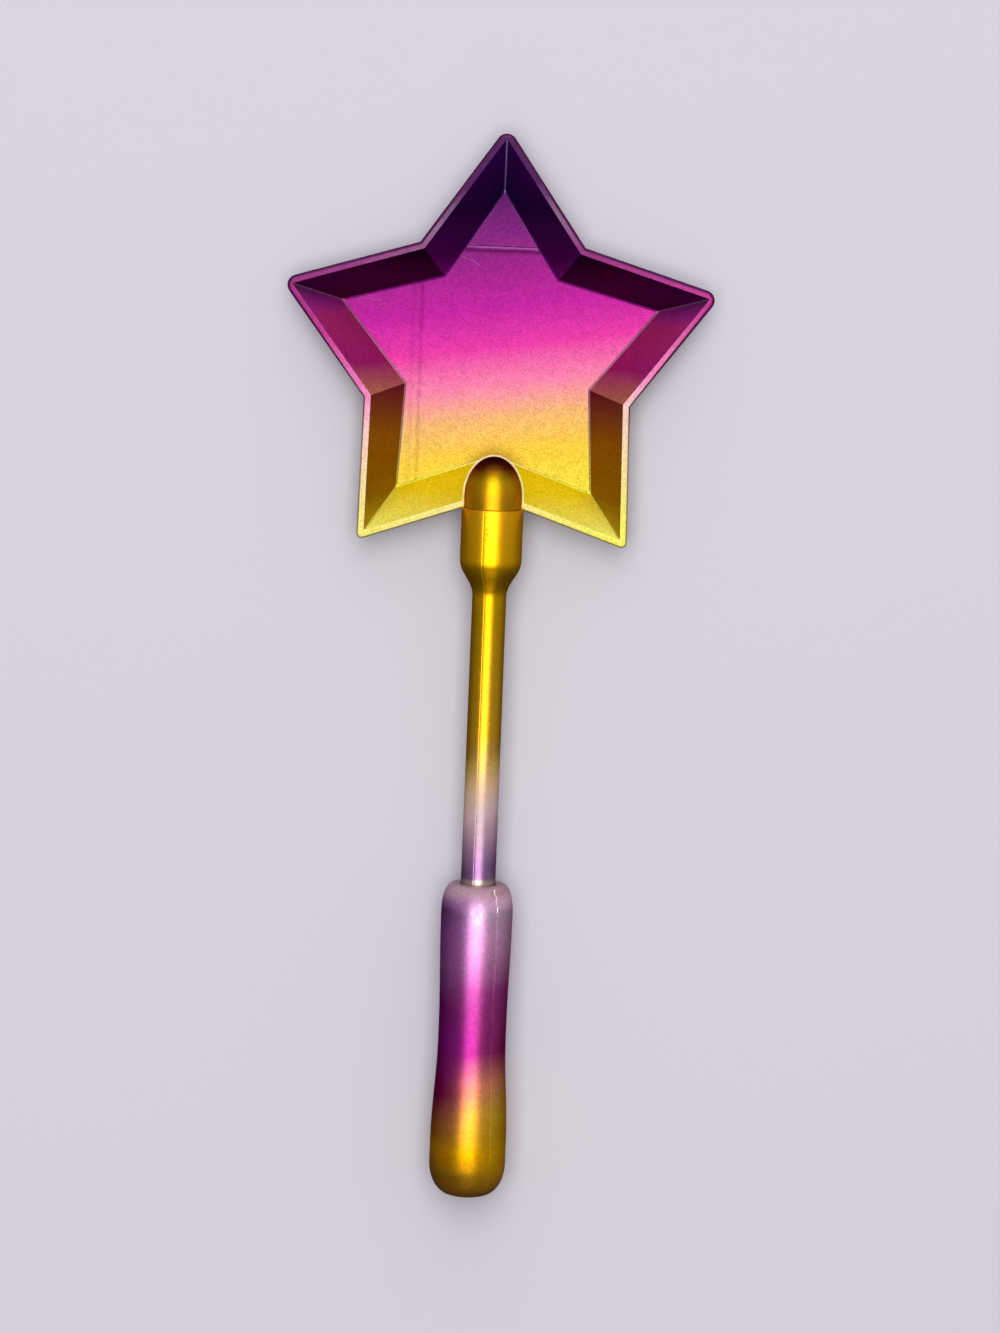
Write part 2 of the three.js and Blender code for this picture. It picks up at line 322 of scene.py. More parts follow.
def put(tree, kind, **settings):
    made = tree.nodes.new(kind)
    for key, value in settings.items():
        setattr(made, key, value)
    return made


def give(tree, socket, source):
    """Links an input to another node's output, or sets its value."""
    if isinstance(source, bpy.types.NodeSocket):
        tree.links.new(source, socket)
    else:
        socket.default_value = source


def feed(tree, target, *sources):
    """Sets or links the inputs of a node in their order, and gives its first output."""
    for socket, source in zip(target.inputs, sources):
        give(tree, socket, source)
    return target.outputs[0]


def sums(tree, operation, *sources):
    return feed(tree, put(tree, "ShaderNodeMath", operation=operation), *sources)


def spread(tree, *sources, way="LINEAR"):
    """Share of the way of a value from one limit to another, or its place between two new limits."""
    return feed(tree, put(tree, "ShaderNodeMapRange", interpolation_type=way), *sources)


def mixed(tree, share, one, two, way="MIX"):
    blend = put(tree, "ShaderNodeMix", data_type="RGBA", blend_type=way)
    colours = [socket for socket in blend.inputs if socket.type == "RGBA"]
    for socket, source in zip([blend.inputs[0]] + colours, (share, one, two)):
        give(tree, socket, source)
    return [socket for socket in blend.outputs if socket.type == "RGBA"][0]


def ramp(tree, factor, stops):
    """Colour band over stops of (position, hexadecimal code)."""
    band = put(tree, "ShaderNodeValToRGB")
    marks = band.color_ramp.elements
    while len(marks) < len(stops):
        marks.new(0.5)
    for mark, (position, code) in zip(marks, stops):
        mark.position = position
        mark.color = paint(code)
    tree.links.new(factor, band.inputs[0])
    return band.outputs[0]


def node_group(name, inputs, outputs):
    """Empty node group with named inputs and outputs, given as (name, kind) pairs."""
    group = bpy.data.node_groups.new(name, "ShaderNodeTree")
    for way, sockets in (("INPUT", inputs), ("OUTPUT", outputs)):
        for label, kind in sockets:
            group.interface.new_socket(label, in_out=way, socket_type="NodeSocket" + kind)
    return group, put(group, "NodeGroupInput"), put(group, "NodeGroupOutput")


NOISE_MIDDLE = 0.5
NOISE_DETAIL = 3


def length_group():
    """Share of the way from one place on the wand's length to another, slanted across it, with a drift."""
    inputs = [(label, "Float") for label in ("Low", "High", "Slant", "Wander", "Grain")]
    group, enter, leave = node_group("share_of_length", inputs, [("Share", "Float")])
    place = put(group, "ShaderNodeTexCoord").outputs["Object"]
    split = put(group, "ShaderNodeSeparateXYZ")
    feed(group, split, place)
    drift = put(group, "ShaderNodeTexNoise")
    give(group, drift.inputs["Vector"], place)
    give(group, drift.inputs["Scale"], enter.outputs["Grain"])
    give(group, drift.inputs["Detail"], NOISE_DETAIL)
    lean = sums(group, "MULTIPLY_ADD", split.outputs["X"], enter.outputs["Slant"], split.outputs["Y"])
    centred = sums(group, "SUBTRACT", drift.outputs[0], NOISE_MIDDLE)
    sway = sums(group, "MULTIPLY_ADD", centred, enter.outputs["Wander"], lean)
    share = spread(group, sway, enter.outputs["Low"], enter.outputs["High"])
    give(group, leave.inputs["Share"], share)
    return group


share_of_length = length_group()


def along(tree, low_y, high_y, slant=0.0, wander=0.0, grain=90.0):
    place = put(tree, "ShaderNodeGroup", node_tree=share_of_length)
    return feed(tree, place, low_y, high_y, slant, wander, grain)


BLOTCH_SCALE = 420
BLOTCH_LIMITS = (0.3, 0.7)
GLOSS_LIMITS = (-0.02, 0.025)


def flake_group():
    """Fine metal flake, uneven gloss and the soft ripple of a metallised coat."""
    inputs = [("Colour", "Color"), ("Grain", "Float"), ("Sparkle", "Float"), ("Ripple", "Float")]
    outputs = [("Colour", "Color"), ("Gloss", "Float"), ("Height", "Float")]
    group, enter, leave = node_group("metal_flake", inputs, outputs)
    place = put(group, "ShaderNodeTexCoord").outputs["Object"]
    cells = put(group, "ShaderNodeTexVoronoi")
    give(group, cells.inputs["Vector"], place)
    give(group, cells.inputs["Scale"], enter.outputs["Grain"])
    specks = put(group, "ShaderNodeSeparateColor")
    give(group, specks.inputs[0], cells.outputs["Color"])
    blotch = put(group, "ShaderNodeTexNoise")
    give(group, blotch.inputs["Vector"], place)
    give(group, blotch.inputs["Scale"], BLOTCH_SCALE)
    give(group, blotch.inputs["Detail"], NOISE_DETAIL)
    centred = sums(group, "SUBTRACT", specks.outputs[0], NOISE_MIDDLE)
    lift = sums(group, "MULTIPLY_ADD", centred, enter.outputs["Sparkle"], 1.0)
    tinted = put(group, "ShaderNodeVectorMath", operation="SCALE")
    give(group, tinted.inputs[0], enter.outputs["Colour"])
    give(group, tinted.inputs["Scale"], lift)
    gloss = spread(group, blotch.outputs[0], *BLOTCH_LIMITS, *GLOSS_LIMITS)
    height = sums(group, "MULTIPLY_ADD", blotch.outputs[0], enter.outputs["Ripple"], specks.outputs[0])
    give(group, leave.inputs["Colour"], tinted.outputs[0])
    give(group, leave.inputs["Gloss"], gloss)
    give(group, leave.inputs["Height"], height)
    return group


flake = flake_group()
METAL_EDGE = (0.35, 0.3, 0.33, 1.0)
FLAKE_RELIEF = 0.1 * MM


def metallised(name, colour_of, roughness, grain=3000, sparkle=0.3, ripple=0.0, bump=0.05, metal_of=None):
    """Metallised plastic: a colour that changes over the surface, flake, and slightly uneven gloss. The
    metal can be worn thin in places."""
    material, tree, shader = finish_material(name)
    coat = put(tree, "ShaderNodeGroup", node_tree=flake)
    feed(tree, coat, colour_of(tree), grain, sparkle, ripple)
    give(tree, shader.inputs["Base Color"], coat.outputs["Colour"])
    give(tree, shader.inputs["Roughness"], sums(tree, "ADD", coat.outputs["Gloss"], roughness))
    grainy = put(tree, "ShaderNodeBump")
    give(tree, grainy.inputs["Strength"], bump)
    give(tree, grainy.inputs["Distance"], FLAKE_RELIEF)
    give(tree, grainy.inputs["Height"], coat.outputs["Height"])
    give(tree, shader.inputs["Normal"], grainy.outputs[0])
    give(tree, shader.inputs["Metallic"], metal_of(tree) if metal_of else 1.0)
    give(tree, shader.inputs["Specular Tint"], METAL_EDGE)
    return material


LIP_FADE = [
    (0.00, "d0ca57"), (0.31, "cba5a1"), (0.38, "c7729e"), (0.54, "a2357c"), (0.70, "7a2e66"),
    (0.78, "73546e"), (0.88, "451d4b"), (1.00, "422349"),
]
WALL_FADE = [
    (0.00, "ffff83"), (0.12, "ffe319"), (0.25, "ffd500"), (0.43, "d12d8c"), (0.54, "dc3a8d"),
    (0.63, "fd28f9"), (0.70, "9217ad"), (0.82, "561f80"), (1.00, "8b1fc6"),
]
# Painted shade: walls that face the stem are darkened, and walls that face away are not.
WALL_SHADE = [
    (0.10, "4e4e4e"), (0.17, "5c5c5c"), (0.27, "a8a8a8"), (0.50, "b0b0b0"), (0.74, "f4f4f4"),
    (0.88, "ffffff"),
]
# Painted shade: the two outer walls at the bottom get a darker brown for the way they face.
OUTER_WALL_SHADE = [(0.05, "b29721"), (0.11, "99730b"), (0.25, "b07609"), (0.37, "8b2b3b")]
OUTER_WALLS = [(0.40, "000000"), (0.45, "ffffff"), (0.55, "ffffff"), (0.60, "000000")]
STEEP_LIMITS = (0.3, 0.5)
UPPER_HALF = [(0.545, "000000"), (0.61, "ffffff")]
UPPER_SIDE = [(0.52, "000000"), (0.6, "ffffff")]
UPPER_SIDE_PAINT = paint("662a5e")
LOWER_POINTS = [(0.22, "ffffff"), (0.32, "000000")]
OUTWARD_LIMITS = (0.002, 0.008)
FLAT_LIMITS = (0.92, 0.99)
# Painted highlight along the dish's corners and the edge of its floor.
EDGE_HIGHLIGHT_FADE = [
    (0.00, "c4b358"), (0.15, "c5bf2d"), (0.38, "c27b96"), (0.70, "5f1b63"), (0.80, "693c78"),
    (1.00, "a093c4"),
]


def lower_rim(tree, place, level):
    """Where the dish faces outwards, away from the middle of the star, on its two lower points."""
    from_middle = put(tree, "ShaderNodeVectorMath", operation="SUBTRACT")
    feed(tree, from_middle, place.outputs["Object"], (0, star_y, rim_z))
    outward = put(tree, "ShaderNodeVectorMath", operation="DOT_PRODUCT")
    feed(tree, outward, from_middle.outputs[0], place.outputs["Normal"])
    outside = spread(tree, outward.outputs["Value"], *OUTWARD_LIMITS)
    return mixed(tree, 1.0, outside, ramp(tree, level, LOWER_POINTS), way="MULTIPLY")


def dish_colour(tree):
    """The walls that face the stem are painted darker than the ones that face away from it, as painted
    shade, and the two outer walls at the bottom are painted a darker brown, also as painted shade. The upper
    sides of the rim are a dull plum, and the lip's pale gold runs over the edge of the lower points."""
    fade = along(tree, dish_low.y, dish_high.y, slant=-0.12, wander=0.004)
    level = along(tree, dish_low.y, dish_high.y, wander=0.003)
    place = put(tree, "ShaderNodeTexCoord")
    facing = put(tree, "ShaderNodeSeparateXYZ")
    feed(tree, facing, place.outputs["Normal"])
    away = spread(tree, facing.outputs["Y"], -1.0, 1.0)
    # Painted shade, set by the way each wall faces.
    walls = mixed(tree, 1.0, ramp(tree, level, WALL_FADE), ramp(tree, away, WALL_SHADE), way="MULTIPLY")
    steep = spread(tree, sums(tree, "ABSOLUTE", facing.outputs["X"]), *STEEP_LIMITS)
    outer = sums(tree, "MULTIPLY", ramp(tree, away, OUTER_WALLS), steep)
    # Painted shade on the two outer walls at the bottom.
    walls = mixed(tree, outer, walls, ramp(tree, level, OUTER_WALL_SHADE))
    plum = mixed(tree, 1.0, ramp(tree, level, UPPER_HALF), ramp(tree, away, UPPER_SIDE), way="MULTIPLY")
    walls = mixed(tree, plum, walls, UPPER_SIDE_PAINT)
    lip = ramp(tree, fade, LIP_FADE)
    walls = mixed(tree, lower_rim(tree, place, level), walls, lip)
    flat = spread(tree, facing.outputs["Z"], *FLAT_LIMITS, way="SMOOTHSTEP")
    return mixed(tree, flat, walls, lip)


def edge_highlight_colour(tree):
    """Painted highlight: the sharp corners of the dish are painted pale."""
    return ramp(tree, along(tree, dish_low.y, dish_high.y, wander=0.003), EDGE_HIGHLIGHT_FADE)


dish = dish_tray()
dish.data.materials.append(
    metallised("dish_coat", dish_colour, roughness=0.54, grain=2800, sparkle=0.34, bump=0.08))
dish.data.materials.append(
    metallised("dish_edge_highlight", edge_highlight_colour, roughness=0.5, grain=2800, sparkle=0.34, bump=0.08))
fit_to_plug(dish)
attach(dish, "star_head")
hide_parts("star_dish")

# Floor foil: a thin star of colour-shifting foil laid on the dish's floor. It was folded before it was
# stuck down, so two folds still show as low ridges, one across the top point and one down the left.
foil_low, foil_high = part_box("floor_foil")
FOIL_INSET = 0.4 * MM
FOIL_STAR = grown(FLOOR_STAR, -FOIL_INSET)
FOIL_TIP_STEPS = 3
FOIL_SHARP_DEGREES = 40
FACE_TOLERANCE = 0.001 * MM
FOLD_ACROSS_Y = star_y + 35.0 * MM
FOLD_ACROSS_HEIGHT = 0.42 * MM
FOLD_ACROSS_FLANKS = (2.2 * MM, 0.7 * MM)
FOLD_DOWN_X = -26.2 * MM
FOLD_DOWN_HEIGHT = 0.27 * MM
FOLD_DOWN_FLANKS = (3.2 * MM, 2.2 * MM)
FLANK_LINES = 5


def fold_lines(flanks):
    """Places of the lines that bend a fold, from the foot of one flank to the foot of the other."""
    before = [-flanks[0] * (1 - i / FLANK_LINES) for i in range(FLANK_LINES)]
    return before + [flanks[1] * i / FLANK_LINES for i in range(FLANK_LINES + 1)]


def fold_rise(off, height, flanks):
    """Height of a fold's ridge, whose two flanks differ in width."""
    share = min(1.0, -off / flanks[0] if off < 0 else off / flanks[1])
    return height * math.cos(share * math.pi / 2) ** 2


def foil_sheet():
    mesh = bmesh.new()
    under, outer = [star_ring(mesh, FOIL_STAR, INNER_TIP_ROUND, INNER_TIP_ROUND, z, steps=FOIL_TIP_STEPS,
                              low_notch_drop=LOW_NOTCH_DROP) for z in (foil_low.z, foil_high.z)]
    skin(mesh, [under, outer])
    fan(mesh, outer, (0, star_y, foil_high.z))
    fan(mesh, under, (0, star_y, foil_low.z))
    cuts = [((0, FOLD_ACROSS_Y + off, 0), (0, 1, 0)) for off in fold_lines(FOLD_ACROSS_FLANKS)]
    cuts += [((FOLD_DOWN_X + off, 0, 0), (1, 0, 0)) for off in fold_lines(FOLD_DOWN_FLANKS)]
    for point, normal in cuts:
        everything = mesh.verts[:] + mesh.edges[:] + mesh.faces[:]
        bmesh.ops.bisect_plane(mesh, geom=everything, plane_co=point, plane_no=normal)
    for vert in mesh.verts:
        if vert.co.z < foil_high.z - FACE_TOLERANCE:
            continue
        rise = fold_rise(vert.co.y - FOLD_ACROSS_Y, FOLD_ACROSS_HEIGHT, FOLD_ACROSS_FLANKS)
        vert.co.z += rise + fold_rise(vert.co.x - FOLD_DOWN_X, FOLD_DOWN_HEIGHT, FOLD_DOWN_FLANKS)
    return shape("floor_foil_sheet", mesh, sharp_degrees=FOIL_SHARP_DEGREES)


FOIL_FADE = [
    (0.00, "c2ad33"), (0.12, "c3a132"), (0.23, "c19257"), (0.35, "c36685"), (0.48, "b52f81"),
    (0.61, "991d7c"), (0.86, "641d5e"), (1.00, "47164d"),
]
CREST_HALF_WIDTH = 0.8 * MM
# Painted highlight along the crest of the upper fold.
CREST_HIGHLIGHT = [(0.0, "000000"), (0.5, "747474"), (1.0, "000000")]
CREST_HIGHLIGHT_PAINT = paint("d08ad0")


def foil_colour(tree):
    """The crest of the upper fold is painted pale, as a painted highlight along the ridge."""
    coat = ramp(tree, along(tree, foil_low.y, foil_high.y, slant=-0.15, wander=0.002), FOIL_FADE)
    crest_low = FOLD_ACROSS_Y - CREST_HALF_WIDTH
    crest_high = FOLD_ACROSS_Y + CREST_HALF_WIDTH
    crest = along(tree, crest_low, crest_high, wander=0.002, grain=350)
    return mixed(tree, ramp(tree, crest, CREST_HIGHLIGHT), coat, CREST_HIGHLIGHT_PAINT)


foil = foil_sheet()
foil.data.materials.append(
    metallised("foil_coat", foil_colour, roughness=0.5, grain=3000, sparkle=0.42, bump=0.08))
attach(foil, "star_head")
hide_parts("floor_foil")

# Scratches on the foil: burrs as fine as a hair, turned up where something scraped it. They are pale,
# because the colour has come off them.
SCRATCHES = [
    ((-13.6, 32.0), (-9.9, 30.3)), ((-9.9, 30.5), (-6.6, 28.6)), ((-10.4, 30.6), (-8.9, 30.7)),
    ((-46.0, 17.4), (-36.6, 16.4)), ((-43.5, 18.6), (-38.2, 16.0)), ((-40.1, 15.2), (-35.5, 15.6)),
    ((29.6, -36.6), (33.2, -38.4)), ((14.2, 24.3), (15.0, 22.1)),
]
BURR_HALF_WIDTH = 0.13 * MM
BURR_HEIGHT = 0.05 * MM
BURR_CREST_START = 0.2
BURR_CREST_END = 0.8
BURR_FADE = [(0.0, "f4eca0"), (0.4, "f4c4cc"), (0.7, "f4b8e8"), (1.0, "e0a0dc")]


def scratch_burrs():
    """Low ridges with a six-cornered foot and a straight crest, between places in millimetres from the
    middle of the star."""
    mesh = bmesh.new()
    for start, end in SCRATCHES:
        one = Vector((start[0] * MM, star_y + start[1] * MM, foil_high.z))
        two = Vector((end[0] * MM, star_y + end[1] * MM, foil_high.z))
        aside = (two - one).cross(Vector((0, 0, 1))).normalized() * BURR_HALF_WIDTH
        near = one.lerp(two, BURR_CREST_START)
        far = one.lerp(two, BURR_CREST_END)
        sunk = Vector((0, 0, -BURR_HEIGHT))
        outline = (one, near + aside, far + aside, two, far - aside, near - aside)
        foot = [mesh.verts.new(place + sunk) for place in outline]
        start_crest = mesh.verts.new(near - sunk)
        end_crest = mesh.verts.new(far - sunk)
        mesh.faces.new(foot)
        mesh.faces.new((foot[1], foot[2], end_crest, start_crest))
        mesh.faces.new((foot[4], foot[5], start_crest, end_crest))
        for i, crest in ((0, start_crest), (2, end_crest), (3, end_crest), (5, start_crest)):
            mesh.faces.new((foot[i], foot[(i + 1) % len(foot)], crest))
    return shape("foil_scratches", mesh)


def burr_colour(tree):
    return ramp(tree, along(tree, foil_low.y, foil_high.y), BURR_FADE)


burrs = scratch_burrs()
burrs.data.materials.append(metallised("burr_metal", burr_colour, roughness=0.4))
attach(burrs, "star_head")

# Nose plug: a round plastic moulding with a bullet nose that lies in the dish's cup. Its shoulder seats on
# the mouth of the stem's bell and its tenon goes down the socket. The gold is painted darker on the nose,
# as painted shade.
TENON_RADIUS = 7.2 * MM
TENON_CHAMFER = 0.8 * MM
SHOULDER_ROUND = 0.25 * MM
PLUG_STEPS = 128
EDGE_STEPS = 4
# The dark stops at the nose are painted shade.
PLUG_FADE_AND_SHADE = [(0.00, "ffed26"), (0.55, "d69814"), (0.75, "c39a0d"), (0.885, "683707"), (1.00, "290814")]


def plug_profile():
    shoulder_middle = (PLUG_RADIUS - SHOULDER_ROUND, bell_mouth_y + SHOULDER_ROUND)
    shoulder = arc(shoulder_middle, SHOULDER_ROUND, -90, 0, EDGE_STEPS)
    nose = bullet(PLUG_RADIUS, PLUG_NOSE, plug_high.y, bell_mouth_y)[2:]
    tenon = [(0, plug_low.y), (TENON_RADIUS - TENON_CHAMFER, plug_low.y),
             (TENON_RADIUS, plug_low.y + TENON_CHAMFER), (TENON_RADIUS, bell_mouth_y)]
    return tenon + shoulder + nose


def plug_colour(tree):
    return ramp(tree, along(tree, plug_low.y, plug_high.y, wander=0.001), PLUG_FADE_AND_SHADE)


plug = turned_solid("nose_plug_body", plug_profile(), steps=PLUG_STEPS)
plug.data.materials.append(
    metallised("plug_coat", plug_colour, roughness=0.37, grain=2200, sparkle=0.16, ripple=3, bump=0.04))
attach(plug, "star_head")
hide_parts("nose_plug")

# Stem: two long half shells of metallised plastic, welded along a line that stands a little left of the
# front. The bell at the top is the socket for the plug's tenon, and the flange near the foot turns in the
# grip's chamber. The gold coat is worn thin above the grip.
grip_low, grip_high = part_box("grip_left_half")
grip_mouth_y = grip_high.y
BELL_RADIUS = 9.9 * MM
BELL_LENGTH = 15.9 * MM
BELL_EDGE = 0.3 * MM
SOCKET_RADIUS = 7.5 * MM
SOCKET_DEPTH = 14.3 * MM
TAPER_LENGTH = 13.2 * MM
TAPER_STEPS = 36
STEM_TOP_RADIUS = 5.45 * MM
STEM_FOOT_RADIUS = 5.6 * MM
STEM_BORE = 3.55 * MM
FLANGE_RADIUS = 8.2 * MM
FLANGE_TOP_DROP = 5.3 * MM
FLANGE_THICKNESS = 3 * MM
STEM_SEAM = -16
STEM_SEAM_ROUND = 0.05 * MM
SEAM_GAP = 0.004 * MM
SHELL_STEPS = 120


def ogee(from_radius, to_radius, from_y, to_y, steps):
    """Smooth S-shaped change of radius."""
    points = []
    for i in range(steps + 1):
        t = i / steps
        blend = t ** 3 * (t * (6 * t - 15) + 10)
        points.append((from_radius + (to_radius - from_radius) * blend, from_y + (to_y - from_y) * t))
    return points


def half_shell(name, profile, seam_degrees, side, outer_count, seam_round, dent=None):
    """One half of a turned shell. The first points of the closed profile are its outer face, which is
    rolled in a little along the seam and can be dented on the front."""
    mesh = bmesh.new()
    seam = math.radians(seam_degrees)
    clear = SEAM_GAP / 2 * side
    columns = []
    for step in range(SHELL_STEPS + 1):
        turn = seam + side * math.pi * step / SHELL_STEPS
        at_seam = step in (0, SHELL_STEPS)
        column = []
        for i, (radius, y) in enumerate(profile):
            drop = 0.0
            if i < outer_count and at_seam:
                drop = min(seam_round, radius)
            elif i < outer_count and dent and math.cos(turn) > 0:
                drop = dent(radius * math.sin(turn), y)
            x = (radius - drop) * math.sin(turn)
            z = (radius - drop) * math.cos(turn)
            if at_seam:
                x += clear * math.cos(seam)
                z -= clear * math.sin(seam)
            column.append(mesh.verts.new((x, y, rim_z + z)))
        columns.append(column)
    skin(mesh, columns)
    mesh.faces.new(columns[0])
    mesh.faces.new(columns[-1])
    return shape(name, mesh)


def stem_profile():
    bell_foot = bell_mouth_y - BELL_LENGTH
    taper_end = bell_foot - TAPER_LENGTH
    flange_top = grip_mouth_y - FLANGE_TOP_DROP
    flange_foot = flange_top - FLANGE_THICKNESS
    outer = [(STEM_FOOT_RADIUS, stem_low.y), (STEM_FOOT_RADIUS, flange_foot), (FLANGE_RADIUS, flange_foot),
             (FLANGE_RADIUS, flange_top), (STEM_FOOT_RADIUS, flange_top), (STEM_FOOT_RADIUS, grip_mouth_y)]
    outer += ogee(STEM_TOP_RADIUS, BELL_RADIUS, taper_end, bell_foot, TAPER_STEPS)
    outer += arc((BELL_RADIUS - BELL_EDGE, bell_mouth_y - BELL_EDGE), BELL_EDGE, 0, 90, EDGE_STEPS)
    socket_floor = bell_mouth_y - SOCKET_DEPTH
    inner = [(SOCKET_RADIUS, bell_mouth_y), (SOCKET_RADIUS, socket_floor), (STEM_BORE, socket_floor),
             (STEM_BORE, stem_low.y)]
    return outer + inner, len(outer)


STEM_FADE = [
    (0.00, "af8ba3"), (0.04, "a776a9"), (0.20, "c5a9a7"), (0.32, "e0b45d"), (0.40, "ecb028"),
    (0.73, "dfab10"), (0.84, "ffbb0b"), (1.00, "ffb717"),
]
# Painted reflection of the grip's shoulder in the stem's foot.
STEM_FOOT = [(0.0, "cdb9ae"), (1.0, "d8c6bc")]
FOOT_REFLECTION_HEIGHT = 1.75 * MM
FOOT_REFLECTION_BLUR = 0.5 * MM
STEM_METAL = [(0.04, "ffffff"), (0.12, "d0d0d0"), (0.19, "909090"), (0.26, "a0a0a0"), (0.36, "ffffff")]


def stem_share(tree):
    return along(tree, grip_mouth_y, bell_mouth_y, slant=-0.3, wander=0.002)


def stem_colour(tree):
    """A narrow pale band at the foot is a painted reflection of the grip's beige shoulder."""
    coat = ramp(tree, stem_share(tree), STEM_FADE)
    reflection_top = grip_mouth_y + FOOT_REFLECTION_HEIGHT
    band = along(tree, reflection_top - FOOT_REFLECTION_BLUR, reflection_top + FOOT_REFLECTION_BLUR, wander=0.0004, grain=300)
    return mixed(tree, band, ramp(tree, band, STEM_FOOT), coat)


def stem_metal(tree):
    return ramp(tree, stem_share(tree), STEM_METAL)


stem_coat = metallised("stem_coat", stem_colour, roughness=0.35, grain=2200, sparkle=0.16, ripple=9,
                       bump=0.04, metal_of=stem_metal)
stem_points, stem_outer = stem_profile()
for label, side in (("left", -1), ("right", 1)):
    shell = half_shell(f"stem_{label}_shell", stem_points, STEM_SEAM, side, stem_outer, STEM_SEAM_ROUND)
    shell.data.materials.append(stem_coat)
    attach(shell, "stem")
    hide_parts(f"stem_{label}_half")

# Nicks on the bell: small flakes of plastic left standing beside the seam, where the two halves of the mould
# did not close well. They are coated with the stem.
NICKS = [
    (0.7 * MM, 2.2 * MM, 0.22 * MM, 0.5 * MM), (1.0 * MM, 5.9 * MM, 0.4 * MM, 0.5 * MM),
    (1.1 * MM, 7.5 * MM, 0.5 * MM, 0.75 * MM), (0.8 * MM, 9.3 * MM, 0.42 * MM, 0.45 * MM),
]
NICK_CORNERS = 9
NICK_SUNK = 0.03 * MM
NICK_HEIGHT = 0.16 * MM
NICK_TOP = 0.66
NICK_RAGGED = 0.4
NICK_SEED = 5


def bell_nicks():
    """Each nick is given by its way round from the seam, its drop from the mouth and its half sizes."""
    mesh = bmesh.new()
    chance = random.Random(NICK_SEED)
    for aside, drop, half_width, half_length in NICKS:
        foot = []
        top = []
        for corner in range(NICK_CORNERS):
            turn = 2 * math.pi * corner / NICK_CORNERS
            ragged = 1 - NICK_RAGGED * chance.random()
            for ring, reach, lift in ((foot, ragged, -NICK_SUNK), (top, ragged * NICK_TOP, NICK_HEIGHT)):
                angle = math.radians(STEM_SEAM) + (aside + half_width * reach * math.cos(turn)) / BELL_RADIUS
                radius = BELL_RADIUS + lift
                y = bell_mouth_y - drop + half_length * reach * math.sin(turn)
                ring.append(mesh.verts.new((radius * math.sin(angle), y, rim_z + radius * math.cos(angle))))
        skin(mesh, [foot, top])
        mesh.faces.new(foot)
        mesh.faces.new(top)
    return shape("bell_seam_nicks", mesh)


nicks = bell_nicks()
nicks.data.materials.append(stem_coat)
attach(nicks, "stem")

# Grip: two half shells of a waisted plastic handle, welded along a line on its right round the stem's
# flange. The coat is mauve at the shoulder, magenta at the waist and gold at the butt, and its metal is
# thin at both ends.
MOUTH_RADIUS = 8.0 * MM
MOUTH_DEPTH = 5 * MM
MOUTH_EDGE = 0.3 * MM
MOUTH_STEPS = 28
SHOULDER_RADIUS = 11.6 * MM
SHOULDER_DROP = 9 * MM
WAIST_RADIUS = 11.0 * MM
WAIST_DROP = 48 * MM
UPPER_WAIST_STEPS = 64
LOWER_WAIST_STEPS = 20
BUTT_RADIUS = 12.4 * MM
BUTT_DROP = 88 * MM
BUTT_ROUND = 6.8 * MM
BUTT_ROUND_LENGTH = 10.4 * MM
BUTT_STEPS = 24
GRIP_BORE = 5.85 * MM
CHAMBER_RADIUS = 8.5 * MM
CHAMBER_DEPTH = 3.6 * MM
RIB_THICKNESS = 3 * MM
HOLLOW_RADIUS = 8.6 * MM
END_WALL = 3 * MM
GRIP_SEAM = 35
GRIP_SEAM_ROUND = 0.09 * MM
GATE_DROP = 8.8 * MM
GATE_HALF_WIDTH = 0.9 * MM
GATE_HALF_LENGTH = 1.7 * MM
GATE_DEPTH = 0.2 * MM


def grip_profile():
    top = grip_high.y
    end = grip_low.y
    outer = [(0, end)]
    for i in range(BUTT_STEPS + 1):
        turn = math.pi / 2 * i / BUTT_STEPS
        outer.append((BUTT_RADIUS - BUTT_ROUND * (1 - math.sin(turn)),
                      end + BUTT_ROUND_LENGTH * (1 - math.cos(turn))))
    outer += ogee(BUTT_RADIUS, WAIST_RADIUS, top - BUTT_DROP, top - WAIST_DROP, LOWER_WAIST_STEPS)
    outer += ogee(WAIST_RADIUS, SHOULDER_RADIUS, top - WAIST_DROP, top - SHOULDER_DROP, UPPER_WAIST_STEPS)[1:]
    reach = SHOULDER_RADIUS - MOUTH_RADIUS
    for i in range(1, MOUTH_STEPS + 1):
        turn = math.pi / 2 * i / MOUTH_STEPS
        outer.append((MOUTH_RADIUS + reach * math.cos(turn), top - SHOULDER_DROP * (1 - math.sin(turn))))
    outer += arc((GRIP_BORE + MOUTH_EDGE, top - MOUTH_EDGE), MOUTH_EDGE, 90, 180, EDGE_STEPS)
    chamber_top = top - MOUTH_DEPTH
    chamber_foot = chamber_top - CHAMBER_DEPTH
    rib_foot = chamber_foot - RIB_THICKNESS
    inner = [(GRIP_BORE, chamber_top), (CHAMBER_RADIUS, chamber_top), (CHAMBER_RADIUS, chamber_foot),
             (GRIP_BORE, chamber_foot), (GRIP_BORE, rib_foot), (HOLLOW_RADIUS, rib_foot),
             (HOLLOW_RADIUS, end + END_WALL), (0, end + END_WALL)]
    return outer + inner, len(outer)


def gate_mark(x, y):
    """Depth of the shallow oval dimple left below the mouth, where the plastic was let into the mould."""
    along_it = (y - grip_high.y + GATE_DROP) / GATE_HALF_LENGTH
    return GATE_DEPTH * math.exp(-(x / GATE_HALF_WIDTH) ** 2 - along_it ** 2)


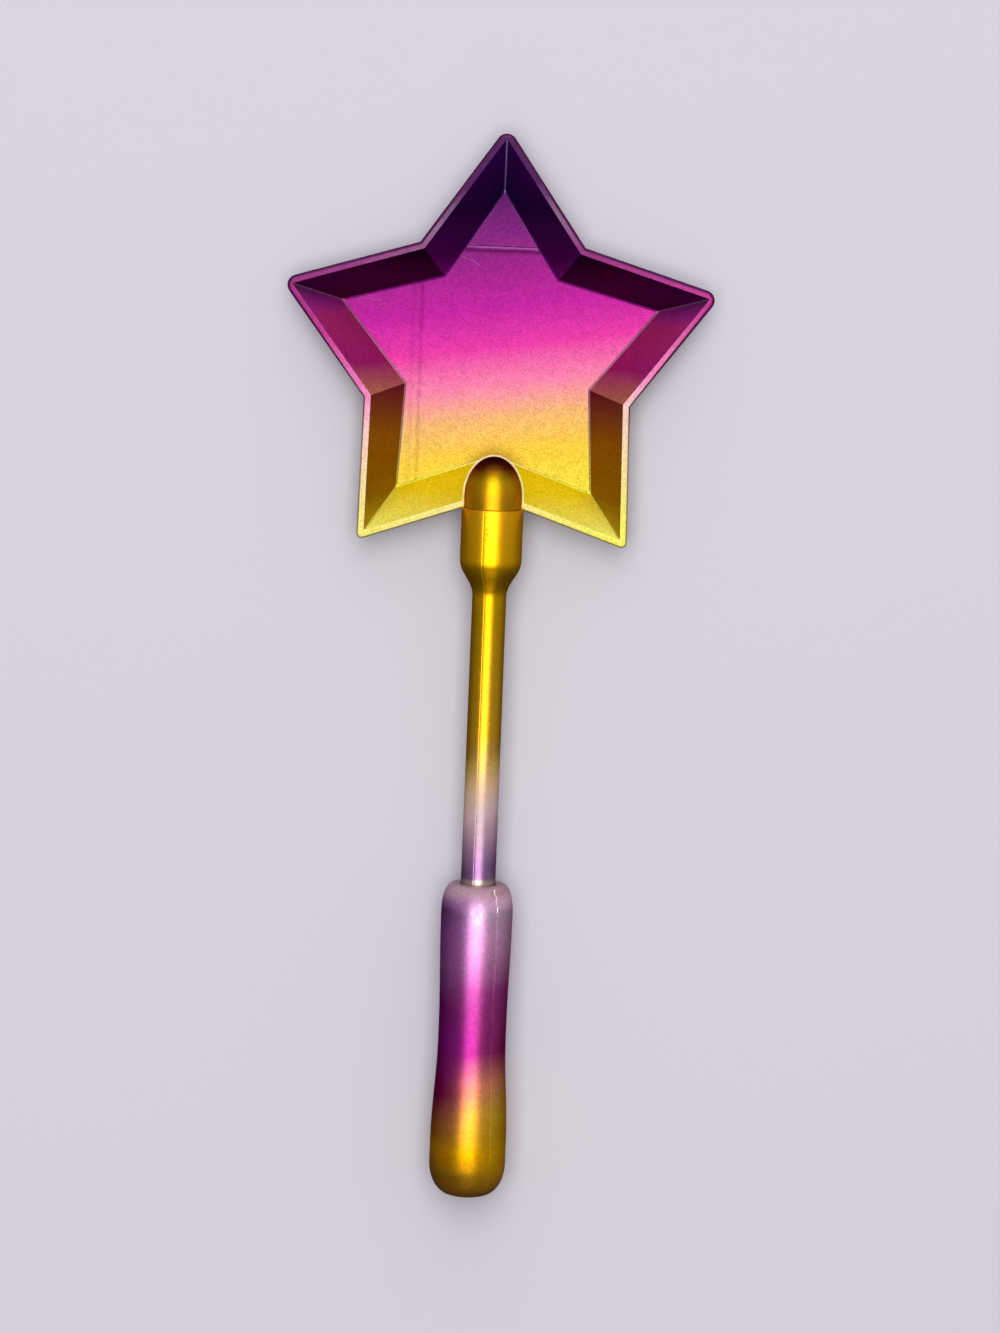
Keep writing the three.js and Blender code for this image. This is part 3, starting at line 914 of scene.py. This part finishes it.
# The two ramps differ in the slanted change of colour and also as painted light and shade: the right is
# lighter at the shoulder. The dark stops at the butt are painted shade where it turns from the light.
GRIP_LEFT_PAINT_AND_SHADE = [
    (0.02, "6d4808"), (0.08, "885d05"), (0.16, "e59e00"), (0.33, "a61060"), (0.51, "b1269f"),
    (0.62, "a72f8f"), (0.74, "ca74bf"), (0.86, "c16bc0"), (0.95, "925e94"), (0.98, "a58594"),
]
GRIP_RIGHT_PAINT_AND_SHADE = [
    (0.02, "744a0f"), (0.16, "fab803"), (0.27, "ffc42f"), (0.38, "fc9a70"), (0.47, "b03674"),
    (0.68, "c94ea1"), (0.80, "ffb1dc"), (0.92, "fbcceb"), (0.98, "a47d87"),
]
GRIP_METAL = [
    (0.00, "909090"), (0.10, "e8e8e8"), (0.20, "ffffff"), (0.92, "ffffff"), (0.965, "707070"),
    (1.00, "404040"),
]


def across(tree, half_width):
    """Share of the way from the left of the wand to its right."""
    split = put(tree, "ShaderNodeSeparateXYZ")
    feed(tree, split, put(tree, "ShaderNodeTexCoord").outputs["Object"])
    return spread(tree, split.outputs["X"], -half_width, half_width, way="SMOOTHSTEP")


# Left and right ramps carry painted light and shade as well as the slanted change of colour.
def grip_colour(tree):
    fade = along(tree, grip_low.y, grip_high.y, wander=0.005, grain=60)
    return mixed(tree, across(tree, WAIST_RADIUS), ramp(tree, fade, GRIP_LEFT_PAINT_AND_SHADE), ramp(tree, fade, GRIP_RIGHT_PAINT_AND_SHADE))


def grip_metal(tree):
    return ramp(tree, along(tree, grip_low.y, grip_high.y, wander=0.003), GRIP_METAL)


grip_coat = metallised("grip_coat", grip_colour, roughness=0.38, grain=2200, sparkle=0.26, ripple=4,
                       bump=0.05, metal_of=grip_metal)
grip_points, grip_outer = grip_profile()
for label, side in (("left", -1), ("right", 1)):
    shell = half_shell(f"grip_{label}_shell", grip_points, GRIP_SEAM, side, grip_outer, GRIP_SEAM_ROUND,
                       dent=gate_mark)
    shell.data.materials.append(grip_coat)
    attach(shell, "grip")
    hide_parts(f"grip_{label}_half")

# Weld flash: the thread of plastic that the weld squeezed out along the grip's right-hand seam. It is
# fine for most of its length and ragged near the mouth.
FLASH_STATIONS = 260
FLASH_TOP_DROP = 0.5 * MM
FLASH_HALF_WIDTH = 0.1 * MM
FLASH_HEIGHT = 0.07 * MM
FLASH_LEAST = 0.4
FLASH_SUNK = 0.08 * MM
FLASH_ASIDE = 0.2 * MM
FLASH_SHARP_DEGREES = 60
FLASH_SEED = 11
RAGGED_LENGTH = 11 * MM
RAGGED_EXTRA = 0.34 * MM
RAGGED_SWAY = 1.2 * MM
SWAY_LENGTH = 1.6 * MM
SWAY_SEED = 3.7
FLASH_FADE = [(0.00, "b87c18"), (0.25, "d8a040"), (0.38, "b86371"), (0.55, "9f3d85"), (1.00, "ffe4e5")]


def grip_radius(y):
    line = grip_points[1:grip_outer]
    for (r0, y0), (r1, y1) in zip(line, line[1:]):
        if y0 <= y <= y1 and y1 > y0:
            return r0 + (r1 - r0) * (y - y0) / (y1 - y0)
    return line[0][0]


def weld_flash():
    mesh = bmesh.new()
    chance = random.Random(FLASH_SEED)
    top = grip_high.y - FLASH_TOP_DROP
    foot = grip_low.y + BUTT_ROUND / 2
    rings = []
    for station in range(FLASH_STATIONS + 1):
        y = top + (foot - top) * station / FLASH_STATIONS
        ragged = max(0.0, 1 - (top - y) / RAGGED_LENGTH)
        radius = grip_radius(y)
        sway = RAGGED_SWAY * ragged * noise.noise((0, y / SWAY_LENGTH, SWAY_SEED))
        width = FLASH_HALF_WIDTH + RAGGED_EXTRA * ragged * chance.random()
        height = FLASH_HEIGHT * (FLASH_LEAST + (1 - FLASH_LEAST) * chance.random())
        height += RAGGED_EXTRA * ragged * chance.random()
        ring = []
        for aside, lift in ((-width, -FLASH_SUNK), (0.0, height), (width, -FLASH_SUNK)):
            turn = math.radians(GRIP_SEAM) + (sway + aside - FLASH_ASIDE) / radius
            reach = radius + lift
            ring.append(mesh.verts.new((reach * math.sin(turn), y, rim_z + reach * math.cos(turn))))
        rings.append(ring)
    skin(mesh, rings)
    mesh.faces.new(rings[0])
    mesh.faces.new(rings[-1])
    return shape("grip_weld_flash", mesh, sharp_degrees=FLASH_SHARP_DEGREES)


def flash_colour(tree):
    return ramp(tree, along(tree, grip_low.y, grip_high.y, wander=0.004), FLASH_FADE)


flash = weld_flash()
flash.data.materials.append(
    metallised("flash_plastic", flash_colour, roughness=0.35, metal_of=grip_metal))
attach(flash, "grip")

# Pale floor: a wide matt sheet that the wand lies on. Its tone is slightly mottled, and it doesn't show in
# the wand's reflections.
FLOOR_REACH = 4.0
FLOOR_CELLS = 4
FLOOR_DROP = 0.05 * MM
FLOOR_TONES = [(0.3, "cbc6ce"), (0.7, "cfcad2")]
MOTTLE_SCALE = 6
floor_mesh = bmesh.new()
bmesh.ops.create_grid(floor_mesh, x_segments=FLOOR_CELLS, y_segments=FLOOR_CELLS, size=FLOOR_REACH)
bmesh.ops.translate(floor_mesh, verts=floor_mesh.verts, vec=(0, 0, cad_low.z - FLOOR_DROP))
floor = shape("pale_floor", floor_mesh)
floor_paint, floor_tree, floor_shader = finish_material("pale_floor_paint")
mottle = put(floor_tree, "ShaderNodeTexNoise")
mottle.inputs["Scale"].default_value = MOTTLE_SCALE
give(floor_tree, floor_shader.inputs["Base Color"], ramp(floor_tree, mottle.outputs[0], FLOOR_TONES))
floor_shader.inputs["Roughness"].default_value = 0.9
floor_shader.inputs["Specular IOR Level"].default_value = 0.1
floor.data.materials.append(floor_paint)
floor.visible_glossy = False

# Soft studio light: a broad softbox over the wand, a wide one beyond the star, a weak one before the grip,
# and a dim room that is darker at the grip's end, below and on the left.
ROOM_ENDS = [(0.0, "3c3c40"), (0.3, "6a6a70"), (0.5, "b4b4ba"), (1.0, "b6b6bc")]
ROOM_HEIGHT = [(0.35, "c4c4c8"), (0.55, "ffffff")]
ROOM_SIDES = [(0.3, "dcdcdc"), (0.7, "ffffff")]


def softbox(name, place, aim, width, length, watts):
    lamp = bpy.data.lights.new(name, "AREA")
    lamp.shape = "RECTANGLE"
    lamp.size = width
    lamp.size_y = length
    lamp.energy = watts
    holder = bpy.data.objects.new(name, lamp)
    holder.location = place
    holder.rotation_euler = (Vector(aim) - Vector(place)).to_track_quat("-Z", "Y").to_euler()
    holder.visible_camera = False
    bpy.context.scene.collection.objects.link(holder)


softbox("overhead_softbox", (-0.1, 0.85, 2.4), aim=(-0.1, 0.85, 0), width=1.9, length=3.5, watts=67)
softbox("far_softbox", (0, 2.6, 1.0), aim=(0, 0, 0), width=3.0, length=1.4, watts=15)
softbox("near_softbox", (0, -2.5, 1.7), aim=(0, 0, 0), width=2.0, length=1.6, watts=5)
room = bpy.data.worlds.new("dim_room")
room.use_nodes = True
sky = room.node_tree
direction = put(sky, "ShaderNodeSeparateXYZ")
feed(sky, direction, put(sky, "ShaderNodeTexCoord").outputs["Generated"])


def room_tone(axis, stops):
    return ramp(sky, spread(sky, direction.outputs[axis], -1.0, 1.0), stops)


glow = mixed(sky, 1.0, room_tone("Y", ROOM_ENDS), room_tone("Z", ROOM_HEIGHT), way="MULTIPLY")
glow = mixed(sky, 1.0, glow, room_tone("X", ROOM_SIDES), way="MULTIPLY")
give(sky, sky.nodes["Background"].inputs["Color"], glow)
bpy.context.scene.world = room
bpy.context.scene.view_settings.view_transform = "Standard"

# Camera above the wand, leaning a little so that the star's end is nearer, as in the photograph. The lens
# is in millimetres and the angles are in degrees.
LENS = 121.5
LEAN = 7.89
SIDE = 0.53
ROLL = -2.27
ASIDE = -4.45 * MM
DISTANCE = 1460.5 * MM
turned_view = (Matrix.Rotation(math.radians(ROLL), 3, "Z") @ Matrix.Rotation(math.radians(LEAN), 3, "X")
               @ Matrix.Rotation(math.radians(SIDE), 3, "Y"))
camera = bpy.data.objects.new("camera", bpy.data.cameras.new("camera"))
camera.data.lens = LENS
upright = turned_view.transposed()
camera.matrix_world = Matrix.Translation(upright @ Vector((-ASIDE, 0, DISTANCE))) @ upright.to_4x4()
bpy.context.scene.collection.objects.link(camera)
bpy.context.scene.camera = camera
